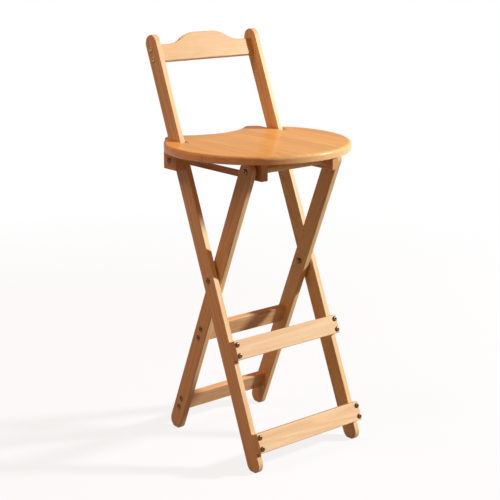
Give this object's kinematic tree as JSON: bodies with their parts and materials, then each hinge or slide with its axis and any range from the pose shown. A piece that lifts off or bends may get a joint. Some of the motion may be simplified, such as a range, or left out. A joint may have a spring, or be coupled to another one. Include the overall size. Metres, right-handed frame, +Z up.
{
  "type": "folding bar stool",
  "caption": "Tall timber folding stool: round seat, low back rail with a hump, crossed leg frames, front and rear rungs, seat sliding on slotted battens.",
  "frame": {"origin": "on the floor, under the middle of the outline seen from above", "axes": "+Z up, the stool faces -Y, +X to the right seen from the front"},
  "size_m": [0.42, 0.419, 0.9094],
  "materials": {
    "wood": "clear satin varnish on warm pale timber",
    "seat_wood": "clear satin varnish on paler glued timber",
    "bolt_steel": "dark bronzed steel",
    "nylon": "natural nylon",
    "brass": "plain"
  },
  "bodies": {
    "long_frame": {"long_leg_left": "wood", "long_leg_right": "wood", "front_rung_upper": "wood", "front_rung_lower": "wood", "back_rail": "wood", "front_rung_screws_upper": "bolt_steel", "front_rung_screws_lower": "bolt_steel", "back_rail_screws": "bolt_steel", "crossing_bolt_left": "bolt_steel", "crossing_bolt_right": "bolt_steel", "crossing_nut_left": "bolt_steel", "crossing_nut_right": "bolt_steel", "crossing_spacer_left": "nylon", "crossing_spacer_right": "nylon", "seat_bolt_left": "bolt_steel", "seat_bolt_right": "bolt_steel", "seat_washer_left": "nylon", "seat_washer_right": "nylon", "seat_insert_left": "brass", "seat_insert_right": "brass"},
    "short_frame": {"short_leg_left": "wood", "short_leg_right": "wood", "rear_rung_upper": "wood", "rear_rung_lower": "wood", "cross_dowel": "wood", "rear_rung_screws_upper": "bolt_steel", "rear_rung_screws_lower": "bolt_steel", "dowel_screw_left": "bolt_steel", "dowel_screw_right": "bolt_steel"},
    "seat": {"seat_board": "seat_wood", "cleat_left": "wood", "cleat_right": "wood", "batten_left": "wood", "batten_right": "wood", "batten_screws": "bolt_steel", "cleat_screws": "bolt_steel"}
  },
  "joints": [
    {"name": "fold", "type": "hinge", "parent": "long_frame", "child": "short_frame", "pos_m": [0, -0.015, 0.3887], "axis": [-1, 0, 0], "range_deg": [0, 44.4]},
    {"name": "seat_tilt", "type": "hinge", "parent": "long_frame", "child": "seat", "pos_m": [0, 0.08876, 0.64262], "axis": [-1, 0, 0], "range_deg": [0, 22.2]}
  ],
  "couplings": [
    {"joint": "seat_tilt", "follows": "fold", "ratio": 0.5}
  ]
}
